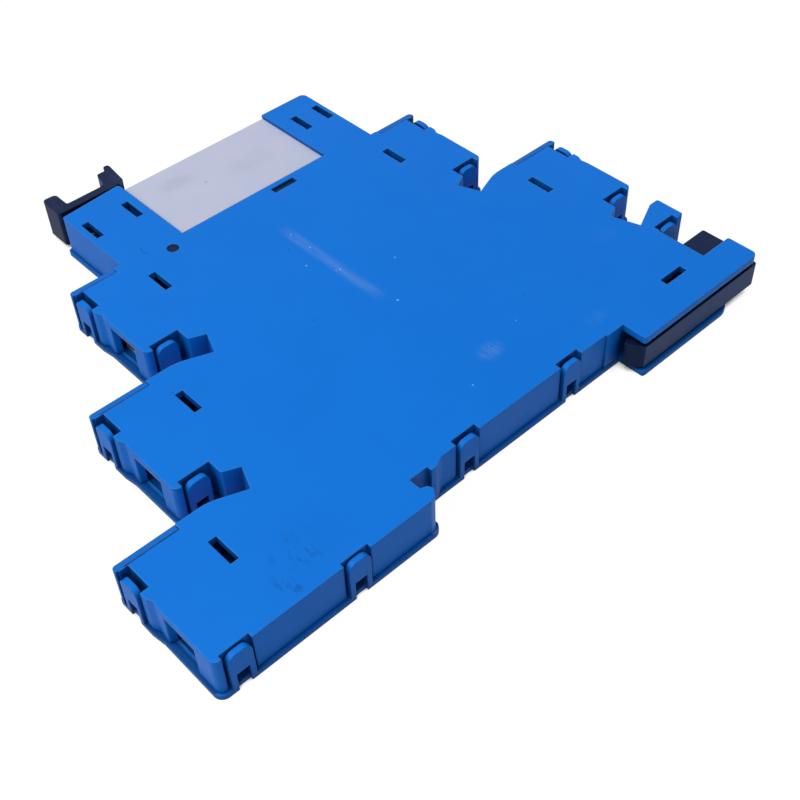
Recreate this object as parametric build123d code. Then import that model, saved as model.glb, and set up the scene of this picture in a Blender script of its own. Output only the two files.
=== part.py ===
from build123d import *
import os

# Slim plug-in interface relay module for a 35 mm rail, lying on its broad side.
# X runs along the rail, Y towards the relay end and Z up through the thickness.
# The drawing is laid out as (x, back): x is measured from the outer edge of the lever arm,
# and back from the fronts of the two arms towards the rail. All sizes are in millimetres.

# Housing
thickness = 6.2
base_plate = 0.65
cover_plate = 1.0
wall = 0.9
shell_gap = 0.1          # open groove between the two shells
flange = 0.35            # how far the base plate stands proud of the cover walls
corner = 0.3             # ordinary moulded corner
round_corner = 0.9
sharp = 0                # corners that the mould leaves unrounded

# Arms that hold the relay
lever_arm_width = 9.6
lever_arm_slope = 0.8    # the lever arm's front rises towards the relay by this much
window_width = 24.8
window_depth = 14.3
plain_arm_width = 8.0

# Terminal steps, three on the lever side and two on the other
left_ledge = 7.25        # first outer wall, left of the lever arm
left_step = 10.1
left_front = 13.95
left_pitch = 19.8
left_depth = 16.15
right_ledge = 7.1        # first outer wall, right of the plain arm
right_step = 9.45
right_front = 15.2
right_pitch = 19.2
right_depth = 15.3
lip = 0.8                # front wall of each terminal, moulded on the base shell
lip_lengths = [6.1, 7.4, 7.4, 6.1, 7.4]
lip_gap = 0.06
lip_drop = 0.08          # the lip's top lies this far under the cover plate
lip_round = 0.5
terminal_round = 0.8

# Outer walls of the terminals
bulge = 0.6              # how far the base plate and the lip stand out beside the latch
bulge_length = 5.7
rib = 0.25               # ridge of the cover behind the side latch
rib_length = 5.6
rib_slope = 0.9
rib_dip = 0.15

# Marker slot behind a terminal
left_slot_shelf = 5.2
right_slot_shelf = 4.9
left_slot_reach = 7.35
right_slot_reach = 6.85
slot_step = 1.35
slot_drop = 2.25
slot_mouth = 3.15        # slanted inner end of the slot
slot_inset = 1.25
slot_curve = 6.0
slot_flat = 1.6          # how far the curved side meets the next front from its outer line

# Rail side
rear = 70.15
rail_seat = 66.4
rail_width = 35.0
rail_room = 0.2
hook_edge = 1.8
hook_heel = 0.3
hook_reach = 1.1
hook_mouth = 1.65
hook_rise = 0.95         # slanted inner side of the hook's tip
tip_neck = 0.3
bump_place = 2.65
bump_width = 2.2
bump_height = 0.65
base_bump_height = 0.3
seat_pad_length = 2.9    # low pad of the rail wall beside the foot
seat_pad = 0.25
side_notch = 4.85        # inner end of the side notch from the last outer wall
side_notch_front = 58.3
side_notch_rear = 65.5
fin_front = 54.0
fin_width = 1.6
fin_drop = 0.8
fin_reach = 0.2          # from the last outer wall
foot_plate_reach = 0.3
base_reach = 0.6         # how far the base plate runs past the side notch under the foot
base_round = 2.2

# Latch arms and their pockets
arm_width = 3.0
arm_height = 5.95
arm_thick = 0.75
arm_window = 1.65
arm_window_top = 2.75
arm_round = 1.05
pocket_clear = 0.35
pocket_depth = 0.9       # from the cover's wall
rear_pocket_depth = 0.6
pocket_back = 0.7
left_arm_inset = 2.85    # centre of a terminal's rear latch from its outer wall
right_arm_inset = 2.75
side_arm_place = 2.85    # centre of a terminal's side latch from its front
rail_arm_places = [10.7, 27.9]
hook_arm_place = -9.05
fin_arm_place = 2.0      # from the inner end of the side notch

# Slots in the cover plate
cover_slot_length = 3.9
cover_slot_width = 1.1
left_slot_in = 9.1
right_slot_in = 8.25
terminal_slot_back = 6.25
arm_slot_back = 5.25
arm_slot_edge = 1.45
middle_slot_in = 8.55     # from the window's other edge
middle_slot_back = 15.7
foot_slot_in = 5.65      # from the inner end of the side notch
foot_slot_back = 65.2

# Relay
relay_length = 27.8
relay_height = 15.0
relay_thickness = 5.0
relay_front = 0.1
relay_wall = 0.5
relay_base_height = 1.5
relay_round = 0.35
pin_width = 0.5
pin_depth = 1.0
pin_length = 3.4
pin_places = [4.0, 7.8, 14.8, 19.8, 24.6]
relay_clear = 0.06
bay_overlap = 1.2        # how far the plates cover the relay's lever end
bay_wall = 0.4           # between the relay and the lever's stem

# Retaining lever
pivot_inset = 2.74       # from the window's edge
pivot_back = 15.99
hub_radius = 1.3
trunnion_radius = 0.78
pivot_clear = 0.05
stem_width = 3.3
stem_inset = 2.05
stem_foot = 1.7
bar_front = 2.4
bar_back = 1.1
lever_left = 0.15
pad_width = 2.1
pad_top = 5.45
pad_round = 0.6
saddle_round = 0.8
horn_inset = 0.7         # the horn's two sides, either side of the window's edge
horn_reach = 1.3
horn_top = 6.1
horn_shoulder = 5.15
horn_width = 1.0
horn_heel = 1.7
horn_bottom = 0.45
horn_round = 0.45
lever_gap = 0.2          # from the lever's top to the cover's top
toe_reach = 3.9
toe_gap = 0.25
toe_height = 1.1
side_clear = 0.1         # between moving pieces and the plates

# Rail foot
foot_nose = 1.0          # how far the nose laps the rail flange
nose_ramp = 0.3
nose_lead = 0.8
nose_slant = 1.3         # slanted end of the nose
nose_end = 0.5
bar_lift = 0.5           # from the base plate up to the foot's bar
bar_drop = 0.65          # from the foot's bar up to the cover plate
tab_back = 69.0
flange_slot = 1.15
foot_body = 2.55         # depth of the body that runs inside the housing
foot_reach = 0.55        # from the last outer wall
foot_travel = 2.0
tab_gap = 0.5
tab_front = 61.5
lug_place = 4.65         # from the foot's side of the rail
lug_width = 1.4
lug_front = 60.9
spring_turns = 4
spring_thick = 0.4
spring_gap = 0.3         # from the spring to the foot's body and past its lug

# Screw clamps
screw_in = 4.0           # screw axis from the outer wall
head_radius = 1.9
head_length = 1.3
head_place = 0.95
drive_width = 0.6
drive_depth = 0.6
shank_radius = 1.2
thread_clear = 0.05
tip_gap = 0.05
access_radius = 2.0
clamp_bar_place = 8.0
bar_thick = 0.6
bar_clear = 0.08
cage_length = 4.8
cage_top = 1.4
cage_bottom = 0.7
cage_side = 0.45
cage_place = 5.5
left_cage_room = 1.75    # from the cage to the rear wall
right_cage_room = 0.9
wire_width = 4.4
wire_centre = 10.7
wire_flare = 0.4

# Contact strips
tine_length = 3.2
fork_gap = 0.15          # from the socket wall to the forks
tine_gap = 0.1
strip_bend = 1.0
strip_end = 1.4
seat_size = 2.4

# Places worked out from the sizes above
left_side = 1
right_side = -1
window_left = lever_arm_width
pivot_x = window_left - pivot_inset
stem_right = window_left - stem_inset
window_right = window_left + window_width
arm_right = window_right + plain_arm_width
foot_edge = hook_edge + rail_width + rail_room
inner_floor = base_plate
inner_roof = thickness - cover_plate
inner_low = inner_floor + side_clear
inner_high = inner_roof - side_clear
mid_z = (inner_low + inner_high) / 2
strip_low = inner_low + cage_side + bar_clear
strip_high = inner_high - cage_side - bar_clear
relay_low = (thickness - relay_thickness) / 2
relay_high = relay_low + relay_thickness
relay_left = window_left - bay_overlap
relay_right = relay_left + relay_length
relay_back = relay_front + relay_height
fork_place = relay_back + wall + fork_gap
foot_body_front = rail_seat + flange_slot - foot_body
lug_x = foot_edge + lug_place
middle_slot_x = window_right - middle_slot_in

terminals = []
for count in range(3):
    outer = -left_ledge - count * left_step
    terminals.append((outer, left_front + count * left_pitch, left_side))
for count in range(2):
    outer = arm_right + right_ledge + count * right_step
    terminals.append((outer, right_front + count * right_pitch, right_side))

last_wall = terminals[4][0]
side_notch_x = last_wall - side_notch
fin_right = last_wall + fin_reach
foot_plate_right = last_wall + foot_plate_reach
foot_end = last_wall + foot_reach
tab_left = side_notch_x + tab_gap
foot_slot_x = side_notch_x - foot_slot_in
left_edge = terminals[2][0] - bulge
right_edge = foot_end
middle_x = (left_edge + right_edge) / 2
middle_back = (rear + flange - horn_top) / 2
to_frame = Pos(-middle_x, middle_back, 0)


def block(x0, x1, back0, back1, z0, z1):
    """A box between two x values, two distances back and two heights."""
    size = (abs(x1 - x0), abs(back1 - back0), z1 - z0)
    return Pos((x0 + x1) / 2, -(back0 + back1) / 2, (z0 + z1) / 2) * Box(*size)


def prism(corners, z0, z1):
    """An upright prism over corners given as (x, back, radius)."""
    points = [(x, -back) for x, back, radius in corners]
    radii = [radius for x, back, radius in corners]
    line = FilletPolyline(*points, radius=radii, close=True)
    return Pos(0, 0, z0) * extrude(make_face(line), z1 - z0)


def round_block(x0, x1, back0, back1, z0, z1, radius):
    corners = [(x0, back0, radius), (x1, back0, radius), (x1, back1, radius), (x0, back1, radius)]
    return prism(corners, z0, z1)


def upright_disc(x, back, radius, z0, z1):
    return Pos(x, -back, (z0 + z1) / 2) * Cylinder(radius, z1 - z0)


def drill(x, back0, back1, z, radius):
    """A round bar that runs from front to back."""
    place = Pos(x, -(back0 + back1) / 2, z) * Rot(90, 0, 0)
    return place * Cylinder(radius, abs(back1 - back0))


def depth_of(side):
    return left_depth if side == left_side else right_depth


def slot_sizes(side):
    """How far in from the outer wall a marker slot's shelf and its inner end lie."""
    if side == left_side:
        return left_slot_shelf, left_slot_reach
    return right_slot_shelf, right_slot_reach


def cage_end(front, side):
    room = left_cage_room if side == left_side else right_cage_room
    return front + depth_of(side) - wall - room


def outer_wall(terminal, is_base):
    """Corners of a terminal's outer wall from front to rear, wavy beside its latch."""
    outer, front, side = terminal
    back = front + depth_of(side)
    if is_base:
        proud = outer - side * (bulge - flange)
        return [
            (proud, front, corner),
            (proud, front + bulge_length, round_corner),
            (outer, front + bulge_length + 2 * rib_slope, round_corner),
            (outer, back, terminal_round),
        ]
    ridge_end = front + rib_length
    return [
        (outer - side * rib, front, sharp),
        (outer - side * rib, ridge_end, corner),
        (outer + side * rib_dip, ridge_end + rib_slope, corner),
        (outer, ridge_end + 2 * rib_slope, sharp),
        (outer, back, terminal_round),
    ]


def marker_slot(outer, slot_front, side):
    """Corners of the slot behind a terminal, from its rear wall to its slanted inner end."""
    shelf, reach = slot_sizes(side)
    shelf_x = outer + side * shelf
    inner_x = outer + side * reach
    return [
        (shelf_x, slot_front, sharp),
        (shelf_x, slot_front + slot_step, corner),
        (inner_x, slot_front + slot_drop, sharp),
        (inner_x - side * slot_inset, slot_front + slot_drop + slot_mouth, sharp),
    ]


def left_outline(is_base):
    """The lever side from the lever arm to the rail hook."""
    corners = [(window_left, window_depth, sharp)]
    corners.append((window_left, -lever_arm_slope + relay_front, lip_round))
    corners.append((0, relay_front, corner))
    corners.append((0, left_front, sharp))
    for terminal in terminals[:2]:
        outer, front, side = terminal
        corners += outer_wall(terminal, is_base)
        corners += marker_slot(outer, front + left_depth, side)
        corners.append((outer + slot_flat, front + left_pitch, slot_curve))
    corners += outer_wall(terminals[2], is_base)[:-1]
    corners.append((terminals[2][0], rear, terminal_round))
    return corners


def hook_outline(is_base):
    """Rail hook, the gap for the rail's edge and the bump that keeps the rail tight."""
    gap_back = rail_seat + hook_mouth
    bump = hook_edge + bump_place
    height = base_bump_height if is_base else bump_height
    return [
        (hook_edge + hook_heel, rear, round_corner),
        (hook_edge + hook_reach, gap_back + hook_rise, corner),
        (hook_edge + hook_reach - tip_neck, gap_back + tip_neck, sharp),
        (hook_edge, gap_back, sharp),
        (hook_edge, rail_seat, sharp),
        (bump, rail_seat, sharp),
        (bump, rail_seat + height, sharp),
        (bump + bump_width / 3, rail_seat + height, sharp),
        (bump + bump_width, rail_seat, sharp),
        (foot_edge, rail_seat, sharp),
    ]


def right_outline(is_base):
    """The other side, from the rail foot back to the plain arm."""
    if is_base:
        base_end = side_notch_x + base_reach
        corners = [
            (foot_edge, rear, lip_round),
            (base_end, rear, base_round),
            (base_end, side_notch_rear, sharp),
            (side_notch_x, side_notch_rear, sharp),
        ]
    else:
        corners = [
            (foot_edge, rear, corner),
            (foot_plate_right, rear, round_corner),
            (foot_plate_right, side_notch_rear, corner),
            (side_notch_x, side_notch_rear, sharp),
        ]
    outer, front, side = terminals[4]
    slot = marker_slot(outer, front + right_depth, side)
    inner_x, inner_back, radius = slot[3]
    corners += [
        (side_notch_x, side_notch_front, sharp),
        (fin_right, side_notch_front, corner),
        (fin_right, fin_front, corner),
        (fin_right - fin_width, fin_front, corner),
        (inner_x, inner_back + fin_drop, sharp),
        slot[2],
        slot[1],
        slot[0],
    ]
    corners += outer_wall(terminals[4], is_base)[::-1]
    outer, upper_front, side = terminals[3]
    corners.append((outer - slot_flat, front, slot_curve))
    corners += marker_slot(outer, upper_front + right_depth, side)[::-1]
    corners += outer_wall(terminals[3], is_base)[::-1]
    corners += [
        (arm_right, upper_front, sharp),
        (arm_right, 0, round_corner),
        (window_right, 0, sharp),
        (window_right, window_depth, sharp),
    ]
    return corners


def outline(is_base):
    return left_outline(is_base) + hook_outline(is_base) + right_outline(is_base)


def chambers(z0, z1):
    """Rooms inside the housing, as overlapping boxes that keep a wall to the outline."""
    first, second, third, fourth, fifth = terminals
    left_back = [front + left_depth for outer, front, side in terminals[:3]]
    right_back = [front + right_depth for outer, front, side in terminals[3:]]
    neck_left = first[0] + left_slot_reach + wall
    neck_right = fourth[0] - right_slot_reach - wall
    low_neck_left = second[0] + left_slot_reach + wall
    slot_depth = slot_drop + slot_mouth + wall
    rooms = []
    for outer, front, side in terminals:
        slot_in = left_slot_in if side == left_side else right_slot_in
        inner = outer + side * (slot_in + cover_slot_width)
        rooms.append((outer + side * wall, inner, front + lip, front + depth_of(side) - wall))
    rooms.append((neck_left, neck_right, relay_back + wall, rail_seat - wall))
    rooms.append((first[0] + wall, neck_right, relay_back + wall, left_back[0] - wall))
    rooms.append((neck_left, fourth[0] - wall, relay_back + wall, right_back[0] - wall))
    rooms.append((second[0] + wall, neck_right, left_back[0] + slot_depth, left_back[1] - wall))
    rooms.append((low_neck_left, fifth[0] - wall, right_back[0] + slot_depth, right_back[1] - wall))
    rooms.append((low_neck_left, side_notch_x - wall, right_back[1] + slot_depth, rail_seat - wall))
    rooms.append((third[0] + wall, neck_right, left_back[1] + slot_depth, rail_seat - wall))
    rooms.append((third[0] + wall, hook_edge - wall, left_back[1] + slot_depth, rear - wall))
    return [block(x0, x1, back0, back1, z0, z1) for x0, x1, back0, back1 in rooms]


def latch_places():
    """Each latch as (x, back, turn, proud, depth, room): the middle of its outer face, the way
    it faces, how far that face stands out from the cover's wall, how deep its pocket goes into
    that wall, and the pocket's room on the side away from the outer wall."""
    places = []
    for index, (outer, front, side) in enumerate(terminals):
        inset = left_arm_inset if side == left_side else right_arm_inset
        shelf, reach = slot_sizes(side)
        if index == 2:
            places.append((outer + side * inset, rear + flange, 0, flange, rear_pocket_depth, pocket_clear))
        else:
            back = front + depth_of(side) + flange
            room = shelf - inset - arm_width / 2
            places.append((outer + side * inset, back, 0, flange, pocket_depth, side * room))
        place = front + side_arm_place
        places.append((outer - side * bulge, place, -90 * side, bulge, pocket_depth, pocket_clear))
    places.append((hook_arm_place, rear + flange, 0, flange, rear_pocket_depth, pocket_clear))
    for x in rail_arm_places:
        places.append((x, rail_seat + flange, 0, flange, pocket_depth, pocket_clear))
    x = side_notch_x + fin_arm_place
    places.append((x, side_notch_front + flange, 0, flange, pocket_depth, pocket_clear))
    return places


def latch_frame(x, back, turn):
    """Local frame of a latch: its outer face lies in XZ and faces -Y before the turn."""
    return Pos(x, -back, 0) * Rot(0, 0, turn)


def latch_arm():
    """A tongue with rounded top corners."""
    half = arm_width / 2
    rim = FilletPolyline((-half, 0), (-half, arm_height), (half, arm_height), (half, 0),
                         radius=[0, arm_round, arm_round, 0], close=True)
    return extrude(Plane.XZ * make_face(rim), -arm_thick)


def latch_pocket(start, end, room, extra, z0, z1):
    """Room around a latch, between two distances behind its outer face. One side keeps the
    usual clearance, the other has a room of its own, and extra widens both."""
    near = arm_width / 2 + pocket_clear + extra
    far = arm_width / 2 + abs(room) + extra
    middle = (far - near) / 2 if room > 0 else (near - far) / 2
    return Pos(middle, (start + end) / 2, (z0 + z1) / 2) * Box(near + far, end - start, z1 - z0)


def terminal_slots():
    """Middle points of the slots in the cover plate, with their turn."""
    places = []
    for outer, front, side in terminals:
        slot_in = left_slot_in if side == left_side else right_slot_in
        places.append((outer + side * slot_in, front + terminal_slot_back, 90))
    for x in (arm_slot_edge, lever_arm_width - 1.25 * arm_slot_edge):
        places.append((x, arm_slot_back, 90))
    for x in (window_right + 2 * arm_slot_edge, arm_right - 0.75 * arm_slot_edge):
        places.append((x, arm_slot_back + relay_wall, 90))
    places.append((middle_slot_x, middle_slot_back, 0))
    places.append((foot_slot_x, foot_slot_back, 0))
    return places


def wire_entries():
    """Tapered wire entries through the outer wall of each terminal."""
    entries = []
    for outer, front, side in terminals:
        height = inner_roof - inner_floor
        mouth = Rectangle(wire_width + 2 * wire_flare, height)
        throat = Rectangle(wire_width, height - wire_flare)
        z = inner_floor + height / 2
        turn = 90 if side == left_side else -90
        back = front + wire_centre
        at_mouth = Plane((outer - side * flange, -back, z)) * Rot(0, turn, 0) * Rot(0, 0, 90)
        at_throat = Plane((outer + side * (wall + flange), -back, z)) * Rot(0, turn, 0) * Rot(0, 0, 90)
        entries.append(loft([at_mouth * mouth, at_throat * throat]))
    return entries


def foot_room(z0, z1):
    """Open space for the rail foot, between the two plates."""
    under_plate = block(foot_edge - corner, foot_end + 1, rail_seat, rear + 1, z0, z1)
    body_room = block(lug_x - foot_travel, foot_end + 1, foot_body_front - side_clear, rear + 1, z0, z1)
    return [under_plate, body_room]


def relay_room(z0, z1):
    """Bay that the relay plugs into, open at the front."""
    return block(relay_left - relay_clear, relay_right + relay_clear, -3, relay_back + relay_clear, z0, z1)


def lever_room(z0, z1):
    """Room for the lever's stem in its arm, and for its toe under the relay."""
    bay_wall_left = relay_left - relay_clear - bay_wall
    stem_room = block(wall, bay_wall_left, -2, relay_back, z0, z1)
    hub_room = block(wall, window_left, relay_back, pivot_back + hub_radius + side_clear, z0, z1)
    toe_room = block(pivot_x, pivot_x + toe_reach + wall / 2, relay_back, fork_place, z0, z1)
    return [stem_room, hub_room, toe_room]


def pin_slots():
    """Slots in the socket wall that lead the relay's pins to their contacts."""
    width = pin_width + 4 * relay_clear
    low = mid_z - pin_depth / 2 - 2 * relay_clear
    high = mid_z + pin_depth / 2 + 2 * relay_clear
    slots = []
    for place in pin_places:
        x = relay_left + place
        slots.append(block(x - width / 2, x + width / 2, relay_back - 1, fork_place, low, high))
    return slots


def cover_shell():
    floor = inner_floor + shell_gap
    shell = prism(outline(False), floor, thickness)
    shell -= chambers(floor - 1, inner_roof)
    backings = []
    cuts = foot_room(floor - 1, inner_roof) + lever_room(floor - 1, inner_roof)
    backings.append(block(foot_edge - seat_pad_length, foot_edge, rail_seat - wall, rail_seat + seat_pad,
                          floor, thickness))
    for x, back, turn, proud, depth, room in latch_places():
        frame = latch_frame(x, back, turn)
        end = proud + depth
        lining = latch_pocket(proud + corner, end + pocket_back, room, pocket_back, floor, inner_roof)
        backings.append(frame * lining)
        cuts.append(frame * latch_pocket(-1, end, room, 0, floor - 1, thickness + 1))
    for (outer, front, side), length in zip(terminals, lip_lengths):
        end = outer + side * (length + lip_gap)
        cuts.append(block(outer - side, end, front - 1, front + lip + lip_gap, floor - 1, thickness + 1))
    cuts += wire_entries() + pin_slots()
    for x, back, turn in terminal_slots():
        slot = Rot(0, 0, turn) * Box(cover_slot_length, cover_slot_width, 3 * cover_plate)
        cuts.append(Pos(x, -back, thickness) * slot)
    cuts.append(relay_room(floor - 1, relay_high + relay_clear))
    pivot_hole = trunnion_radius + pivot_clear
    cuts.append(upright_disc(pivot_x, pivot_back, pivot_hole, inner_roof - 1, thickness + 1))
    return (shell + backings) - cuts


def flanged_outline():
    """The housing's outline, stood out by the flange of the base plate."""
    corners = outline(True)
    points = [(x, -back) for x, back, radius in corners]
    radii = [radius for x, back, radius in corners]
    face = make_face(FilletPolyline(*points, radius=radii, close=True))
    return offset(face, flange, kind=Kind.INTERSECTION)


def rail_space(z0, z1):
    """Free space for the mounting rail, where the base plate has no flange."""
    mouth = block(hook_edge, foot_edge, rail_seat + flange, rail_seat + hook_mouth, z0, z1)
    span = block(hook_edge + hook_reach, foot_edge, rail_seat + flange, rear + 1, z0, z1)
    return [mouth, span]


def base_shell():
    shell = extrude(flanged_outline(), base_plate)
    cuts = rail_space(-1, thickness) + [relay_room(relay_low - relay_clear, thickness + 1)]
    cuts.append(block(window_left, window_right, -3, window_depth, -1, thickness + 1))
    cuts.append(upright_disc(pivot_x, pivot_back, trunnion_radius + pivot_clear, -1, base_plate + 1))
    walls = []
    for (outer, front, side), length in zip(terminals, lip_lengths):
        start = outer - side * bulge
        end = outer + side * length
        walls.append(prism([(start, front, lip_round), (end, front, sharp), (end, front + lip, sharp),
                            (start, front + lip, sharp)], 0, thickness - lip_drop))
        cuts.append(drill(outer + side * screw_in, front - 1, front + lip + 1, mid_z, access_radius))
    window_height = arm_window_top - base_plate
    window_middle = base_plate + window_height / 2
    for x, back, turn, proud, depth, room in latch_places():
        frame = latch_frame(x, back, turn)
        walls.append(frame * latch_arm())
        cuts.append(frame * Box(arm_window, 2 * flange, 2 * base_plate))
        cuts.append(frame * Pos(0, 0, window_middle) * Box(arm_window, 2 * arm_thick, window_height))
    for x, back in strip_seats():
        walls.append(block(x - seat_size / 2, x + seat_size / 2, back - seat_size / 2,
                           back + seat_size / 2, base_plate / 2, strip_low))
    return (shell + walls) - cuts


def strip_routes():
    """Middle lines of the five contact strips, from their fork to their clamp."""
    order = [0, 1, 2, 4, 3]
    routes = []
    for place, index in zip(pin_places, order):
        outer, front, side = terminals[index]
        x = relay_left + place
        back = front + clamp_bar_place + bar_thick / 2
        fork = (x, fork_place + tine_length)
        routes.append((index, x, [fork, (x, back), (outer + side * strip_end, back)]))
    return routes


def strip_seats():
    places = []
    for index, x, route in strip_routes():
        outer, front, side = terminals[index]
        places.append((x, fork_place + tine_length - seat_size / 4))
        places.append((outer + side * (screw_in + cage_length / 2 + seat_size), route[2][1]))
    return places


def contact_strip(x, route):
    """A flat strip standing on edge, bent along its route and forked for one relay pin."""
    points = [(px, -back) for px, back in route]
    run = trace(FilletPolyline(*points, radius=strip_bend), bar_thick)
    gap = pin_width / 2 + tine_gap
    profile = run
    for way in (-1, 1):
        tine = Pos(x + way * (gap + bar_thick / 2), -(fork_place + tine_length / 2))
        profile += tine * Rectangle(bar_thick, tine_length)
    bridge = Pos(x, -(fork_place + tine_length)) * Rectangle(2 * (gap + bar_thick), bar_thick)
    profile += bridge
    return Pos(0, 0, strip_low) * extrude(profile, strip_high - strip_low)


def clamp_screw(outer, front, side):
    x = outer + side * screw_in
    head_end = front + head_place + head_length
    tip = front + clamp_bar_place - tip_gap
    head = drill(x, front + head_place, head_end, mid_z, head_radius)
    slot = block(x - drive_width / 2, x + drive_width / 2, front + head_place - 1,
                 front + head_place + drive_depth, mid_z - 2 * head_radius, mid_z + 2 * head_radius)
    return (head - slot) + drill(x, head_end - 0.1, tip, mid_z, shank_radius)


def clamp_cage(outer, front, side):
    x = outer + side * screw_in
    top = front + cage_place
    mouth = top + cage_top
    end = cage_end(front, side)
    half = cage_length / 2
    cage = block(x - half, x + half, top, end, inner_low, inner_high)
    cage -= block(x - half - 1, x + half + 1, mouth, end - cage_bottom,
                  inner_low + cage_side, inner_high - cage_side)
    return cage - drill(x, top - 1, mouth + 1, mid_z, shank_radius + thread_clear)


def relay_case():
    back = relay_back - relay_base_height
    outer = round_block(relay_left, relay_right, relay_front, back, relay_low, relay_high, relay_round)
    inner = block(relay_left + relay_wall, relay_right - relay_wall, relay_front + relay_wall, back + 1,
                  relay_low + relay_wall, relay_high - relay_wall)
    return outer - inner


def relay_base():
    back = relay_back - relay_base_height
    plate = block(relay_left, relay_right, back, relay_back, relay_low, relay_high)
    plug = block(relay_left + relay_wall, relay_right - relay_wall, back - relay_wall, back + 0.1,
                 relay_low + relay_wall, relay_high - relay_wall)
    shape = plate + plug
    for place in pin_places:
        x = relay_left + place
        shape -= block(x - pin_width / 2, x + pin_width / 2, back - 2 * relay_wall, relay_back + 1,
                       mid_z - pin_depth / 2, mid_z + pin_depth / 2)
    return shape


def relay_pins():
    pins = []
    start = relay_back - relay_base_height - 1.5 * relay_wall
    for place in pin_places:
        x = relay_left + place
        pins.append(block(x - pin_width / 2, x + pin_width / 2, start, relay_back + pin_length,
                          mid_z - pin_depth / 2, mid_z + pin_depth / 2))
    return Compound(pins)


def retaining_lever():
    low = inner_low
    high = inner_high
    stem_left = stem_right - stem_width
    horn_left = window_left - horn_inset
    horn_right = window_left + horn_reach
    body = upright_disc(pivot_x, pivot_back, hub_radius, low, high)
    body += prism([
        (stem_left, -bar_back - corner, sharp),
        (stem_right, -bar_back - corner, sharp),
        (stem_right, pivot_back, sharp),
        (stem_right - stem_foot, pivot_back, sharp),
        (stem_left, pivot_back - 3 * stem_foot, round_corner),
    ], low, high)
    toe_front = relay_back + toe_gap
    body += prism([
        (pivot_x, toe_front, sharp),
        (pivot_x + toe_reach, toe_front, sharp),
        (pivot_x + toe_reach, toe_front + toe_height / 2, corner),
        (pivot_x, toe_front + toe_height, sharp),
    ], strip_low, strip_high)
    body += prism([
        (lever_left, -pad_top, pad_round),
        (lever_left + pad_width, -pad_top + side_clear, pad_round),
        (lever_left + pad_width, -bar_front, corner),
        (horn_left - pad_round, -bar_front, saddle_round),
        (horn_left, -horn_shoulder, corner),
        (horn_right - horn_width / 2, -horn_shoulder, sharp),
        (horn_right - horn_width / 2, -horn_top, horn_round),
        (horn_right + horn_width / 2, -horn_top, horn_round),
        (horn_right, -horn_heel, sharp),
        (window_left + 2 * corner, -horn_bottom, corner),
        (window_left + corner, -horn_bottom, sharp),
        (window_left + corner, -bar_back, sharp),
        (lever_left, -bar_back, pad_round),
    ], relay_low, thickness - lever_gap)
    body += upright_disc(pivot_x, pivot_back, trunnion_radius, side_clear, thickness - side_clear)
    return body


def rail_foot():
    low = inner_low
    high = inner_high
    bar_front_line = rail_seat + flange_slot
    nose = foot_edge - foot_nose
    foot = prism([
        (nose, bar_front_line + nose_ramp, sharp),
        (nose + nose_lead, bar_front_line, sharp),
        (foot_end, bar_front_line, sharp),
        (foot_end, rear, corner),
        (nose + nose_slant, rear, corner),
        (nose, bar_front_line + nose_ramp + nose_end, corner),
    ], inner_floor + bar_lift, inner_roof - bar_drop)
    foot += block(lug_x, foot_end, foot_body_front, tab_back, low, high)
    foot += round_block(tab_left, foot_end, tab_front, tab_back, low, high, corner)
    foot += block(lug_x, lug_x + lug_width, lug_front, tab_back, low, high)
    return foot


def foot_spring():
    """A folded leaf between the foot's lug and the wall beside the side notch."""
    start = lug_x + lug_width
    end = side_notch_x - wall
    top = lug_front + spring_gap
    bottom = foot_body_front - spring_gap
    pitch = (end - start - spring_thick) / spring_turns
    points = [(start + spring_thick / 2, -top)]
    for turn in range(spring_turns):
        x = start + spring_thick / 2 + turn * pitch
        points += [(x, -bottom), (x + pitch / 2, -bottom), (x + pitch / 2, -top), (x + pitch, -top)]
    points.append((points[-1][0], -bottom))
    leaf = trace(Polyline(*points), spring_thick)
    return Pos(0, 0, strip_low) * extrude(leaf, strip_high - strip_low)


def save(shape, name):
    export_step(to_frame * shape, "parts/" + name + ".step")


os.makedirs("parts", exist_ok=True)
save(base_shell(), "base_shell")
save(cover_shell(), "cover_shell")
save(relay_case(), "relay_case")
save(relay_base(), "relay_base")
save(relay_pins(), "relay_pins")
save(retaining_lever(), "retaining_lever")
save(rail_foot(), "rail_foot")
save(foot_spring(), "foot_spring")
for number, terminal in enumerate(terminals, 1):
    save(clamp_screw(*terminal), "clamp_screw_" + str(number))
    save(clamp_cage(*terminal), "clamp_cage_" + str(number))
for index, fork_x, route in strip_routes():
    save(contact_strip(fork_x, route), "contact_strip_" + str(index + 1))
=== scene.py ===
import bpy
from mathutils import Matrix, Vector


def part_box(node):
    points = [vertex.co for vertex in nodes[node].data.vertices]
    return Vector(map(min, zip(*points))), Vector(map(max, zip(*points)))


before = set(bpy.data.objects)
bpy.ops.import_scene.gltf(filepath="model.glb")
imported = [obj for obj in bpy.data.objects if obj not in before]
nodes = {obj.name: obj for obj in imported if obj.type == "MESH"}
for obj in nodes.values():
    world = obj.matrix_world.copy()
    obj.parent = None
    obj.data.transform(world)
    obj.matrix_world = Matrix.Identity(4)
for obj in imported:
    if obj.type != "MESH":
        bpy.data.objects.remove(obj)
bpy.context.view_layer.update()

millimetre = 0.001
white = (1, 1, 1, 1)
noiseMiddle = 0.5
raysPerPoint = {"edge": 6, "hollow": 8}
core = {"speck": 0.4, "streak": 0.15, "patch": 0.25}  # full part of a mark, as a share of its reach
print("frame loaded:", len(nodes), "nodes")


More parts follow.
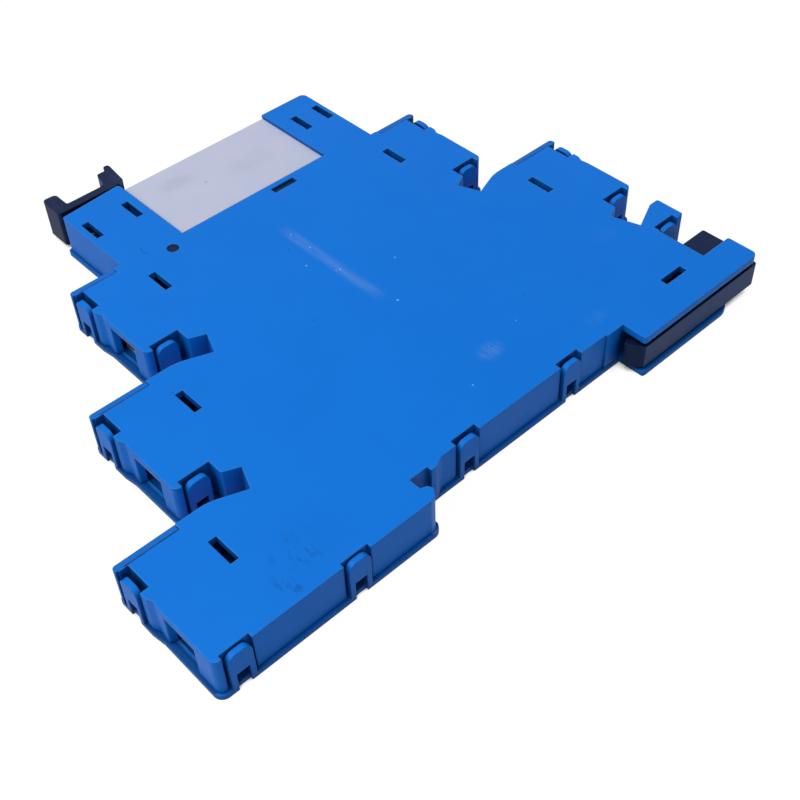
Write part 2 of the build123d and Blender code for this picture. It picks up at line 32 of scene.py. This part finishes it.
class Wire:  # one shader socket that can be used in plain sums
    def __init__(self, wiring, socket):
        self.wiring = wiring
        self.socket = socket

    def maths(self, operation, first, second=0, clamp=False):
        settings = {"operation": operation, "use_clamp": clamp}
        return self.wiring.node("ShaderNodeMath", settings, {0: first, 1: second})

    def __add__(self, other):
        return self.maths("ADD", self, other)

    def __radd__(self, other):
        return self.maths("ADD", other, self)

    def __sub__(self, other):
        return self.maths("SUBTRACT", self, other)

    def __rsub__(self, other):
        return self.maths("SUBTRACT", other, self)

    def __mul__(self, other):
        return self.maths("MULTIPLY", self, other)

    def __rmul__(self, other):
        return self.maths("MULTIPLY", other, self)

    def __truediv__(self, other):
        return self.maths("DIVIDE", self, other)

    def __rtruediv__(self, other):
        return self.maths("DIVIDE", other, self)

    def __pow__(self, other):
        return self.maths("POWER", self, other)

    def __rpow__(self, other):
        return self.maths("POWER", other, self)

    def __gt__(self, other):
        return self.maths("GREATER_THAN", self, other)

    def __lt__(self, other):
        return self.maths("LESS_THAN", self, other)

    def __abs__(self):
        return self.maths("ABSOLUTE", self)

    def most(self, other):
        return self.maths("MAXIMUM", self, other)

    def clip(self):  # kept between 0 and 1
        return self.maths("ADD", self, clamp=True)


class Wiring:  # a node tree being wired up
    def __init__(self, tree):
        self.tree = tree

    def node(self, kind, settings, values, out=0):
        made = self.tree.nodes.new(kind)
        for key, value in settings.items():
            setattr(made, key, value)
        for key, value in values.items():
            self.feed(made.inputs[key], value)
        return Wire(self, made.outputs[out])

    def split(self, kind, values, outs):  # several outputs of one new node
        made = self.node(kind, {}, values).socket.node
        return [Wire(self, made.outputs[out]) for out in outs]

    def feed(self, socket, value):
        if isinstance(value, Wire):
            self.tree.links.new(value.socket, socket)
        else:
            socket.default_value = value

    def whiteRays(self):  # 1 for the rays that see a white background, 0 for the light
        kinds = ("Is Camera Ray", "Is Glossy Ray", "Is Transmission Ray")
        camera, glossy, through = self.split("ShaderNodeLightPath", {}, kinds)
        return camera.most(glossy).most(through)


class Finish(Wiring):  # a material being wired up, with its sizes given in mm
    def __init__(self, name):
        self.material = bpy.data.materials.new(name)
        self.material.use_nodes = True
        super().__init__(self.material.node_tree)
        self.shader = self.tree.nodes["Principled BSDF"]
        self.output = self.tree.nodes["Material Output"]
        self.place = self.node("ShaderNodeTexCoord", {}, {}, "Object")

    def surface(self, values):
        for key, value in values.items():
            self.feed(self.shader.inputs[key], value)

    def axes(self):
        return self.split("ShaderNodeSeparateXYZ", {0: self.place}, (0, 1, 2))

    def step(self, value, low, high):  # rises softly from 0 at low to 1 at high
        settings = {"interpolation_type": "SMOOTHSTEP"}
        return self.node("ShaderNodeMapRange", settings, {0: value, 1: low, 2: high})

    def blend(self, factor, first, second):
        return self.node("ShaderNodeMix", {"data_type": "RGBA"}, {0: factor, 6: first, 7: second}, 2)

    def noise(self, layer):
        place = self.place
        if "stretch" in layer:
            turn = (0, 0, layer.get("turn", 0))
            place = self.node("ShaderNodeMapping", {},
                              {"Vector": place, "Rotation": turn, "Scale": layer["stretch"]})
        values = {"Vector": place, "Scale": 1 / (layer["size"] * millimetre),
                  "Detail": layer["detail"], "Roughness": layer["rough"]}
        return self.node("ShaderNodeTexNoise", {}, values)

    def patches(self, layer):  # a layer's noise as soft patches, from 0 to 1
        return self.step(self.noise(layer), *layer["step"])

    def speck(self, x, y, radius):  # a round mark seen from above
        flat = self.node("ShaderNodeVectorMath", {"operation": "MULTIPLY"}, {0: self.place, 1: (1, 1, 0)})
        centre = (x * millimetre, y * millimetre, 0)
        away = self.node("ShaderNodeVectorMath", {"operation": "DISTANCE"}, {0: flat, 1: centre}, "Value")
        return 1 - self.step(away, radius * core["speck"] * millimetre, radius * millimetre)

    def rounded(self, radius):  # the normal, with its edges rounded
        settings = {"samples": raysPerPoint["edge"]}
        return self.node("ShaderNodeBevel", settings, {"Radius": radius * millimetre})

    def edge(self, rounded):  # 0 on a flat face, more near an edge
        flat = self.node("ShaderNodeNewGeometry", {}, {}, "Normal")
        return 1 - self.node("ShaderNodeVectorMath", {"operation": "DOT_PRODUCT"}, {0: rounded, 1: flat}, "Value")

    def hollow(self, reach):  # 0 in the open, towards 1 deep in a gap or pocket
        settings = {"samples": raysPerPoint["hollow"]}
        return 1 - self.node("ShaderNodeAmbientOcclusion", settings, {"Distance": reach * millimetre}, "AO")

    def bump(self, height, layer, normal):
        values = {"Height": height, "Distance": layer["depth"] * millimetre,
                  "Strength": layer["strength"], "Normal": normal}
        return self.node("ShaderNodeBump", {}, values)


def shade(red, green, blue):  # a colour as seen on screen, turned to the shader's values
    parts = [value / 255 for value in (red, green, blue)]
    linear = [part / 12.92 if part <= 0.04045 else ((part + 0.055) / 1.055) ** 2.4 for part in parts]
    return (*linear, 1.0)


def above(least, mask):  # a mask that never falls below its least value
    return least + (1 - least) * mask


def between(value, low, high):  # 1 between two places
    return (value > low * millimetre) * (value < high * millimetre)


def streak(finish, across, along, line):  # soft band between two ends, 1 in its middle
    width, low, high, soft = [line[key] * millimetre for key in ("width", "low", "high", "soft")]
    away = abs(across - line["at"] * millimetre)
    side = 1 - finish.step(away, width * core["streak"], width)
    ends = finish.step(along, low, low + soft) * (1 - finish.step(along, high - soft, high))
    return side * ends


def patch(finish, x, y, mark):  # soft oval, 1 in its middle
    dx = (x - mark["x"] * millimetre) / (mark["wide"] * millimetre)
    dy = (y - mark["y"] * millimetre) / (mark["deep"] * millimetre)
    return 1 - finish.step((dx * dx + dy * dy) ** 0.5, core["patch"], 1.0)


def arc(finish, x, y, mark):  # thin part of a ring left by the mould
    dx = x - mark["x"] * millimetre
    dy = y - mark["y"] * millimetre
    away = abs((dx * dx + dy * dy) ** 0.5 - mark["radius"] * millimetre)
    line = 1 - finish.step(away, 0, mark["width"] * millimetre)
    return line * between(x, mark["from"], mark["to"])


# In the settings below, places, sizes and depths are in mm. A step gives the values at which
# a mask starts and is full, and gloss is what a layer adds to the roughness.
housing = {
    "colour": shade(0, 114, 225), "deep": shade(0, 110, 220), "edge": shade(72, 150, 230),
    "scuff": shade(150, 178, 224), "grime": shade(10, 58, 132), "dust": shade(150, 206, 255),
    "groove": shade(2, 34, 92), "lip": shade(24, 88, 172), "ledgeShade": shade(0, 72, 146),
    "recessShade": shade(0, 50, 112), "shine": shade(104, 150, 240),
    "roughness": 0.5, "scuffGloss": 0.1, "specular": 0.145,
    "cloud": {"size": 11.0, "detail": 3.0, "rough": 0.55, "step": (0.3, 0.72), "strength": 0.6},
    "mottle": {"size": 4.0, "detail": 3.0, "rough": 0.6, "gloss": 0.12},
    "grain": {"size": 0.22, "detail": 3.0, "rough": 0.6, "depth": 0.012, "strength": 0.35},
    "wave": {"size": 30.0, "detail": 1.0, "rough": 0.4, "depth": 0.4, "strength": 0.25, "bend": 0.6},
    "edgeBreaks": {"size": 1.6, "detail": 3.0, "rough": 0.6, "step": (0.35, 0.7), "least": 0.6},
    "fibre": {"size": 0.7, "detail": 4.0, "rough": 0.65, "step": (0.3, 0.7), "least": 0.4,
              "stretch": (1.0, 0.22, 1.0)},
    "smear": {"size": 1.1, "detail": 3.0, "rough": 0.7, "step": (0.5, 0.66),
              "stretch": (1.0, 0.5, 1.0), "turn": 0.6},
    "breaks": {"size": 1.3, "detail": 2.0, "rough": 0.6, "step": (0.35, 0.6), "least": 0.65},
    "edgeRadius": 0.28, "edgeStep": (0.01, 0.16), "edgeHighlightAndWear": 0.08, "topEdgeHighlight": 0.55, "rim": (5.9, 6.1),
    "top": 6.05, "lipBand": (6.05, 6.16), "lipStrength": 0.4,
    "ledgeBand": (0.6, 0.75), "ledgeRight": -20.0, "ledgeFront": -37.4, "ledgeStrength": 0.9,
    "corner": (-13.93, -37.98, 0.5), "cornerStrength": 0.7,  # painted highlight on the upright edge of the hook
    "recessReach": 3.5, "recessStep": (0.05, 0.75), "recessStrength": 0.85,
    "streaks": [{"at": 3.9, "low": -11.2, "high": 10.2, "width": 1.2, "soft": 3.5, "strength": 0.17}],
    "smudges": [{"x": 6.7, "y": -26.3, "wide": 2.4, "deep": 1.8, "strength": 0.17},
                {"x": 20.0, "y": -31.3, "wide": 2.4, "deep": 1.6, "strength": 0.05},
                {"x": 32.8, "y": -21.8, "wide": 2.4, "deep": 1.6, "strength": 0.04}],
    "dirt": [{"x": -28.6, "y": -33.0, "wide": 4.2, "deep": 3.0, "strength": 0.5},
             {"x": -31.6, "y": -35.6, "wide": 2.8, "deep": 2.4, "strength": 0.5}],
    "seam": {"width": 0.19, "soft": 0.4},
    "seams": [{"at": 17.42, "low": -22.6, "high": -16.7}, {"at": -2.38, "low": -32.8, "high": -25.5},
              {"at": -22.18, "low": -42.9, "high": -35.6}, {"at": 16.17, "low": 27.6, "high": 33.5},
              {"at": -3.03, "low": 35.7, "high": 42.9}],
    "arcs": [{"x": -10.9, "y": 18.4, "radius": 1.25, "width": 0.12, "from": -12.4, "to": -11.7, "strength": 0.5},
             {"x": -24.6, "y": -5.4, "radius": 0.2, "width": 0.12, "from": -25, "to": -24, "strength": 0.3}],
    "paleSpecks": [(10.35, -5.7, 0.17), (5.0, -12.0, 0.22), (1.2, 1.1, 0.17), (3.8, 7.4, 0.13), (3.9, 3.6, 0.15),
                   (3.8, -2.5, 0.17), (3.3, -2.3, 0.12), (12.65, -24.9, 0.12), (1.1, -28.9, 0.15)],
    "darkSpecks": [(1.7, 5.2, 0.17), (5.1, -0.9, 0.14), (-4.8, -7.45, 0.15), (26.0, -9.7, 0.12),
                   (16.8, -22.3, 0.13), (7.3, -25.9, 0.15)],
    "paleStrength": 0.6, "darkStrength": 0.7,
}


def housingFinish():
    finish = Finish("housingBlue")
    x, y, z = finish.axes()
    onTop = z > housing["top"] * millimetre
    rounded = finish.rounded(housing["edgeRadius"])
    wave = finish.noise(housing["wave"])

    cloud = finish.patches(housing["cloud"]) * housing["cloud"]["strength"]
    colour = finish.blend(cloud, housing["colour"], housing["deep"])
    rim = finish.step(z, *[height * millimetre for height in housing["rim"]])
    # painted highlight and wear: the edges are made paler, most along the top edges, in broken patches
    worn = finish.step(finish.edge(rounded), *housing["edgeStep"]) * (housing["edgeHighlightAndWear"] + housing["topEdgeHighlight"] * rim)
    worn = worn * above(housing["edgeBreaks"]["least"], finish.patches(housing["edgeBreaks"]))
    colour = finish.blend(worn, colour, housing["edge"])
    onLip = between(z, *housing["lipBand"])
    colour = finish.blend(onLip * housing["lipStrength"], colour, housing["lip"])
    # painted shade: the low ledges on the -X side are darkened
    onLedge = between(z, *housing["ledgeBand"]) * (x < housing["ledgeRight"] * millimetre)
    onLedge = onLedge * (y > housing["ledgeFront"] * millimetre)
    colour = finish.blend(onLedge * housing["ledgeStrength"], colour, housing["ledgeShade"])
    # painted highlight: a pale band down the upright edge of the hook
    corner = finish.speck(*housing["corner"]) * (z < housing["top"] * millimetre)
    colour = finish.blend(corner * housing["cornerStrength"], colour, housing["shine"])
    # painted shade: darker deep in gaps and pockets
    recessShade = finish.step(finish.hollow(housing["recessReach"]), *housing["recessStep"])
    colour = finish.blend(recessShade * housing["recessStrength"], colour, housing["recessShade"])

    # marks on the upper face
    fibre = finish.patches(housing["fibre"])
    threads = above(housing["fibre"]["least"], fibre)
    bent = x - housing["wave"]["bend"] * millimetre * (wave - noiseMiddle)
    scuffs = sum(streak(finish, bent, y, line) * threads * line["strength"] for line in housing["streaks"])
    scuffs += sum(patch(finish, x, y, mark) * fibre * mark["strength"] for mark in housing["smudges"])
    smear = finish.patches(housing["smear"])
    dirt = sum(patch(finish, x, y, mark) * smear * mark["strength"] for mark in housing["dirt"])
    broken = above(housing["breaks"]["least"], finish.patches(housing["breaks"]))
    seams = sum(streak(finish, y, x, housing["seam"] | line) for line in housing["seams"]) * broken
    arcs = sum(arc(finish, x, y, mark) * mark["strength"] for mark in housing["arcs"])
    pale = sum(finish.speck(*spot) for spot in housing["paleSpecks"]) * housing["paleStrength"]
    dark = sum(finish.speck(*spot) for spot in housing["darkSpecks"]) * housing["darkStrength"]
    for mask, tone in [(scuffs, "scuff"), (dirt, "grime"), (seams, "groove"), (arcs, "groove"),
                       (pale, "dust"), (dark, "groove")]:
        colour = finish.blend((mask * onTop).clip(), colour, housing[tone])

    mottle = housing["mottle"]["gloss"] * (finish.noise(housing["mottle"]) - noiseMiddle)
    gloss = housing["roughness"] + mottle + housing["scuffGloss"] * scuffs * onTop
    skin = finish.bump(finish.noise(housing["grain"]), housing["grain"], rounded)
    skin = finish.bump(wave, housing["wave"], skin)
    finish.surface({"Base Color": colour, "Roughness": gloss, "Normal": skin,
                    "Specular IOR Level": housing["specular"]})
    return finish.material


black = {
    "colour": shade(16, 32, 70), "worn": shade(46, 60, 96), "dust": shade(84, 98, 134),
    "railFacePale": shade(32, 62, 118), "recessShade": shade(2, 6, 18),
    "roughness": 0.45, "specular": 0.08,
    "edgeRadius": 0.16, "edgeStep": (0.02, 0.25), "edgeHighlightAndWear": 0.3,
    "cloud": {"size": 4.0, "detail": 4.0, "rough": 0.6, "gloss": 0.2},
    "scratch": {"size": 0.5, "detail": 4.0, "rough": 0.7, "step": (0.66, 0.8), "strength": 0.25,
                "stretch": (0.15, 1.0, 1.0), "turn": 0.5},
    "grain": {"size": 0.2, "detail": 3.0, "rough": 0.6, "depth": 0.015, "strength": 0.4},
    "dustStep": (0.5, 0.8), "dustStrength": 0.16,
    "railFaceReach": (0.02, 0.1), "railFaceStep": (0.3, 0.7), "railFaceLeast": 0.7,
    "recessReach": 3.0, "recessStep": (0.1, 0.8), "recessStrength": 0.85,
}


def blackFinish(name, railFaceAt=None):
    finish = Finish(name)
    rounded = finish.rounded(black["edgeRadius"])
    cloud = finish.noise(black["cloud"])
    # painted highlight and wear: the edges are made paler
    worn = finish.step(finish.edge(rounded), *black["edgeStep"])
    colour = finish.blend(worn * black["edgeHighlightAndWear"], black["colour"], black["worn"])
    scratch = finish.patches(black["scratch"]) * black["scratch"]["strength"]
    colour = finish.blend(scratch, colour, black["worn"])
    colour = finish.blend(finish.step(cloud, *black["dustStep"]) * black["dustStrength"], colour, black["dust"])
    if railFaceAt is not None:  # the face that runs along the rail is paler and bluer
        near = 1 - finish.step(finish.axes()[1], *[railFaceAt + reach * millimetre for reach in black["railFaceReach"]])
        railFacePale = near * above(black["railFaceLeast"], finish.step(cloud, *black["railFaceStep"]))
        colour = finish.blend(railFacePale, colour, black["railFacePale"])
    # painted shade: darker deep in gaps and pockets
    recessShade = finish.step(finish.hollow(black["recessReach"]), *black["recessStep"])
    colour = finish.blend(recessShade * black["recessStrength"], colour, black["recessShade"])
    gloss = black["roughness"] + black["cloud"]["gloss"] * (cloud - noiseMiddle)
    skin = finish.bump(finish.noise(black["grain"]), black["grain"], rounded)
    finish.surface({"Base Color": colour, "Roughness": gloss, "Normal": skin,
                    "Specular IOR Level": black["specular"]})
    return finish.material


relay = {
    "colour": shade(191, 194, 228), "cool": shade(184, 192, 227), "shadow": shade(159, 164, 190),
    "roughness": 0.4, "specular": 0.2, "edgeRadius": 0.2,
    "cloud": {"size": 6.0, "detail": 2.0, "rough": 0.5, "step": (0.3, 0.7)},
    "fine": {"size": 0.9, "detail": 3.0, "rough": 0.6, "gloss": 0.15},
    "grain": {"size": 0.3, "detail": 2.0, "rough": 0.5, "depth": 0.02, "strength": 0.3},
    "dimple": {"x": 3.35, "y": 25.5, "wide": 0.34, "deep": 0.34, "strength": 0.9, "sunk": 4},
    "inner": [{"x": 0.2, "y": 28.3, "wide": 3.6, "deep": 2.0, "strength": 0.3},
              {"x": 11.5, "y": 25.0, "wide": 5.0, "deep": 3.0, "strength": 0.2}],
    "innerStep": (0.2, 0.6),
    "milk": 0.25, "milkSpread": (1.0, 1.0, 1.0), "milkDepth": 1.2,  # light that spreads inside the case
}


def relayFinish():
    finish = Finish("relayCase")
    x, y, z = finish.axes()
    rounded = finish.rounded(relay["edgeRadius"])
    cloud = finish.noise(relay["cloud"])
    colour = finish.blend(finish.step(cloud, *relay["cloud"]["step"]), relay["colour"], relay["cool"])
    inner = sum(patch(finish, x, y, mark) * mark["strength"] for mark in relay["inner"])
    inner = inner * finish.step(cloud, *relay["innerStep"])
    colour = finish.blend(inner.clip(), colour, relay["shadow"])
    dent = patch(finish, x, y, relay["dimple"])
    colour = finish.blend(dent * relay["dimple"]["strength"], colour, relay["shadow"])
    gloss = relay["roughness"] + relay["fine"]["gloss"] * (finish.noise(relay["fine"]) - noiseMiddle)
    skin = finish.bump(finish.noise(relay["grain"]) - dent * relay["dimple"]["sunk"], relay["grain"], rounded)
    finish.surface({"Base Color": colour, "Roughness": gloss, "Normal": skin,
                    "Specular IOR Level": relay["specular"], "Subsurface Weight": relay["milk"],
                    "Subsurface Radius": relay["milkSpread"], "Subsurface Scale": relay["milkDepth"] * millimetre})
    return finish.material


relayBase = {
    "colour": shade(120, 126, 140), "worn": shade(90, 96, 110), "roughness": 0.45, "edgeRadius": 0.12,
    "cloud": {"size": 3.0, "detail": 3.0, "rough": 0.6, "step": (0.3, 0.7), "strength": 0.5, "gloss": 0.15},
    "grain": {"size": 0.2, "detail": 3.0, "rough": 0.6, "depth": 0.012, "strength": 0.35},
}


def relayBaseFinish():
    finish = Finish("relayBase")
    cloud = finish.noise(relayBase["cloud"])
    worn = finish.step(cloud, *relayBase["cloud"]["step"]) * relayBase["cloud"]["strength"]
    colour = finish.blend(worn, relayBase["colour"], relayBase["worn"])
    gloss = relayBase["roughness"] + relayBase["cloud"]["gloss"] * (cloud - noiseMiddle)
    skin = finish.bump(finish.noise(relayBase["grain"]), relayBase["grain"], finish.rounded(relayBase["edgeRadius"]))
    finish.surface({"Base Color": colour, "Roughness": gloss, "Normal": skin})
    return finish.material


metal = {  # what every metal piece has
    "edgeRadius": 0.1, "metallic": 1.0,
    "lines": {"size": 1.2, "detail": 4.0, "rough": 0.65, "depth": 0.01, "strength": 0.3, "gloss": 0.22},
    "stain": {"size": 2.5, "detail": 3.0, "rough": 0.6, "step": (0.45, 0.75), "gloss": 0.15},
    "stainGlossStep": (0.5, 0.8), "insideReach": 3.0, "insideStep": (0.1, 0.7), "insideStrength": 0.85,
}
metals = {  # lay is how the lines of each metal are stretched
    "contactBrass": {"colour": (0.74, 0.53, 0.25, 1), "dull": (0.5, 0.34, 0.16, 1), "roughness": 0.3,
                     "lay": (1, 1, 12), "inside": shade(10, 36, 84)},
    "cageSteel": {"colour": (0.82, 0.82, 0.78, 1), "dull": (0.6, 0.6, 0.58, 1), "roughness": 0.34,
                  "lay": (1, 10, 1)},
    "screwSteel": {"colour": (0.66, 0.65, 0.62, 1), "dull": (0.42, 0.42, 0.42, 1), "roughness": 0.28,
                   "lay": (8, 1, 8)},
    "springSteel": {"colour": (0.5, 0.5, 0.52, 1), "dull": (0.3, 0.3, 0.33, 1), "roughness": 0.25,
                    "lay": (1, 1, 14)},
    "pinTin": {"colour": (0.74, 0.73, 0.7, 1), "dull": (0.52, 0.52, 0.5, 1), "roughness": 0.3,
               "lay": (14, 1, 1)},
}


def metalFinish(name):
    settings = metals[name]
    finish = Finish(name)
    lines = finish.noise(metal["lines"] | {"stretch": settings["lay"]})
    stain = finish.noise(metal["stain"])
    colour = finish.blend(finish.step(stain, *metal["stain"]["step"]), settings["colour"], settings["dull"])
    if "inside" in settings:  # deep in the housing it is darkened towards the blue of the walls, as painted shade and painted reflection
        inside = finish.step(finish.hollow(metal["insideReach"]), *metal["insideStep"])
        colour = finish.blend(inside * metal["insideStrength"], colour, settings["inside"])
    gloss = settings["roughness"] + metal["lines"]["gloss"] * (lines - noiseMiddle)
    gloss = gloss + metal["stain"]["gloss"] * finish.step(stain, *metal["stainGlossStep"])
    skin = finish.bump(lines, metal["lines"], finish.rounded(metal["edgeRadius"]))
    finish.surface({"Base Color": colour, "Metallic": metal["metallic"], "Roughness": gloss, "Normal": skin})
    return finish.material


finishes = {  # by a node's name, or by what it is called without its number
    "base_shell": housingFinish(), "relay_case": relayFinish(), "relay_base": relayBaseFinish(),
    "retaining_lever": blackFinish("leverBlack"), "rail_foot": blackFinish("footBlack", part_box("rail_foot")[0][1]),
    "relay_pins": metalFinish("pinTin"), "foot_spring": metalFinish("springSteel"),
    "clamp_screw": metalFinish("screwSteel"), "clamp_cage": metalFinish("cageSteel"),
    "contact_strip": metalFinish("contactBrass"),
}
finishes["cover_shell"] = finishes["base_shell"]
for name, piece in nodes.items():
    piece.data.materials.clear()
    piece.data.materials.append(finishes.get(name) or finishes[name.rsplit("_", 1)[0]])
print("finishes put on every node")


studio = {  # in metres
    "world": 0.28, "worldTint": (1, 1, 0.94, 1),
    "floorSize": 3.0, "floorColour": (0.35, 0.35, 0.36, 1), "floorRoughness": 0.9, "floorSpecular": 0.0,
    "seenFloor": (0.95, 0.95, 0.95, 1), "glow": 1.02, "glowShare": 0.95,
    "contactReach": 2.5, "contactStep": (0.5, 0.7),  # shadow right under the part, its reach in mm
    "lamps": [
        {"name": "overhead", "place": (-0.2, 0.04, 0.42), "size": 0.55, "power": 2.15, "tint": (1, 1, 0.88)},
        {"name": "side", "place": (-0.25, -0.42, 0.35), "size": 0.5, "power": 0.25, "tint": (1, 1, 1)},
    ],
}


def addWorld():
    world = bpy.data.worlds.new("studio")
    bpy.context.scene.world = world
    world.use_nodes = True
    wiring = Wiring(world.node_tree)
    wiring.tree.nodes.remove(wiring.tree.nodes["Background"])
    lit = wiring.node("ShaderNodeBackground", {}, {"Color": studio["worldTint"], "Strength": studio["world"]})
    seen = wiring.node("ShaderNodeBackground", {}, {"Color": white})
    mixed = wiring.node("ShaderNodeMixShader", {}, {0: wiring.whiteRays(), 1: lit, 2: seen})
    wiring.feed(wiring.tree.nodes["World Output"].inputs["Surface"], mixed)


def addFloor():
    bpy.ops.mesh.primitive_plane_add(size=studio["floorSize"], location=(0, 0, 0))
    floor = bpy.context.object
    floor.name = "floor"
    finish = Finish("paleFloor")
    finish.surface({"Base Color": studio["floorColour"], "Roughness": studio["floorRoughness"],
                    "Specular IOR Level": studio["floorSpecular"]})
    glow = finish.node("ShaderNodeEmission", {}, {"Color": white, "Strength": studio["glow"]})
    pale = finish.node("ShaderNodeBsdfDiffuse", {}, {"Color": studio["seenFloor"]})
    contact = finish.step(finish.hollow(studio["contactReach"]), *studio["contactStep"])
    seen = finish.node("ShaderNodeMixShader", {}, {0: (1 - contact) * studio["glowShare"], 1: pale, 2: glow})
    lit = Wire(finish, finish.shader.outputs[0])
    mixed = finish.node("ShaderNodeMixShader", {}, {0: finish.whiteRays(), 1: lit, 2: seen})
    finish.feed(finish.output.inputs["Surface"], mixed)
    floor.data.materials.append(finish.material)


def putInScene(name, data):
    piece = bpy.data.objects.new(name, data)
    bpy.context.scene.collection.objects.link(piece)
    return piece


def addLamps():  # each lamp faces the part
    for lamp in studio["lamps"]:
        data = bpy.data.lights.new(lamp["name"], "AREA")
        data.shape = "DISK"
        data.size = lamp["size"]
        data.energy = lamp["power"]
        data.color = lamp["tint"]
        piece = putInScene(lamp["name"], data)
        piece.location = lamp["place"]
        piece.rotation_euler = Vector(lamp["place"]).to_track_quat("Z", "Y").to_euler()


view = {  # the photograph's: place and nearest distance in metres, lens and sensor in mm
    "place": (-0.071285, -0.09847, 0.1083), "nearest": 0.001, "lens": 55.75, "sensor": 36.0,
    "right": (0.73073568, -0.68204802, -0.02891135), "forward": (0.45733206, 0.52054221, -0.72102926),
}


def addCamera():
    right = Vector(view["right"]).normalized()
    forward = Vector(view["forward"]).normalized()
    up = right.cross(forward)
    data = bpy.data.cameras.new("camera")
    data.sensor_width = view["sensor"]
    data.lens = view["lens"]
    data.clip_start = view["nearest"]
    camera = putInScene("camera", data)
    turn = Matrix((right, up, -forward)).transposed().to_4x4()
    camera.matrix_world = Matrix.Translation(view["place"]) @ turn
    bpy.context.scene.camera = camera


addWorld()
addFloor()
addLamps()
addCamera()
bpy.context.scene.view_settings.view_transform = "Standard"
print("studio and camera ready")
